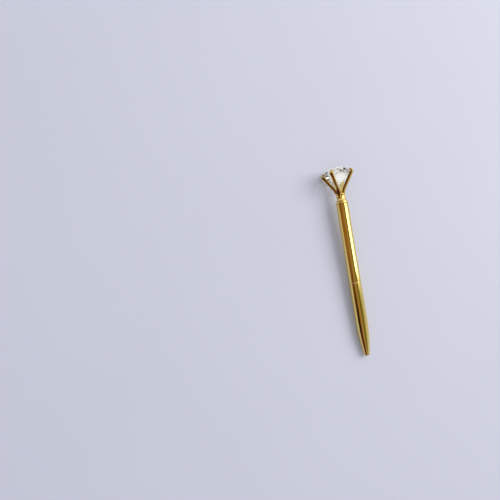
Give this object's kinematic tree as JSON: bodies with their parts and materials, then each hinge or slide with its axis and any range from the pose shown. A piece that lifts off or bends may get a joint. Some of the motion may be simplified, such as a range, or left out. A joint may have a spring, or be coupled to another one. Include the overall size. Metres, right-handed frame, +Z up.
{
  "type": "twist ballpoint pen",
  "caption": "Slim twist-action ballpoint pen in polished gold-coloured metal, with a large clear brilliant-cut stone held in a claw crown at its top.",
  "frame": {"origin": "middle of the pen's footprint, on the flat surface that it lies on", "axes": "+Z up, +Y along the pen towards its head; the pen's own axis lies in the YZ plane and rises 2.9 degrees towards the head, as the pen lies at rest"},
  "size_m": [0.0204, 0.1424, 0.0204],
  "materials": {
    "gold_plate_lower": "gold-coloured electroplate over drawn brass, polished",
    "gold_plate_upper": "gold-coloured electroplate over drawn brass, polished",
    "gold_plate_trim": "gold-coloured electroplate over turned brass, polished",
    "gold_plate_cast": "gold-coloured electroplate over a die casting, polished",
    "clear_crystal": "clear pressed and polished crystal",
    "raw_brass": "turned brass",
    "bright_steel": "bright steel",
    "spring_steel": "tempered spring steel",
    "acetal": "moulded acetal",
    "damping_rubber": "moulded rubber",
    "refill_brass": "drawn brass tube",
    "point_nickel": "turned nickel silver",
    "blue_black_ink": "thick oil-based ink",
    "follower_grease": "clear amber grease",
    "carbide": "ground tungsten carbide"
  },
  "bodies": {
    "lower": {"lower_barrel": "gold_plate_lower", "coupling_bush": "raw_brass", "centre_ring": "gold_plate_trim", "slotted_sleeve": "bright_steel", "friction_ring": "damping_rubber", "thrust_washer": "acetal", "retaining_clip": "spring_steel"},
    "upper": {"upper_barrel": "gold_plate_upper", "mouth_bush": "raw_brass", "cam_tube": "acetal", "end_plug": "raw_brass", "head_stud": "bright_steel", "collar_ring": "gold_plate_trim", "claw_crown": "gold_plate_cast", "stone": "clear_crystal"},
    "refill": {"refill_slider": "acetal", "drive_pin": "bright_steel", "refill_tube": "refill_brass", "refill_point": "point_nickel", "ink_column": "blue_black_ink", "grease_plug": "follower_grease"},
    "ball": {"writing_ball": "carbide"}
  },
  "joints": [
    {"name": "barrel_twist", "type": "hinge", "parent": "lower", "child": "upper", "pos_m": [0, -0.01594, 0.00608], "axis": [0, 0.9987, 0.0501], "range_deg": [0, 180]},
    {"name": "refill_slide", "type": "slide", "parent": "lower", "child": "refill", "axis": [0, -0.9987, -0.0501], "range_m": [0, 0.005]},
    {"name": "ball_roll", "type": "hinge", "parent": "refill", "child": "ball", "pos_m": [0, -0.0691, 0.00342], "axis": [1, 0, 0], "continuous": true}
  ],
  "couplings": [
    {"joint": "refill_slide", "follows": "barrel_twist", "m_per_rad": 0.0015915}
  ]
}
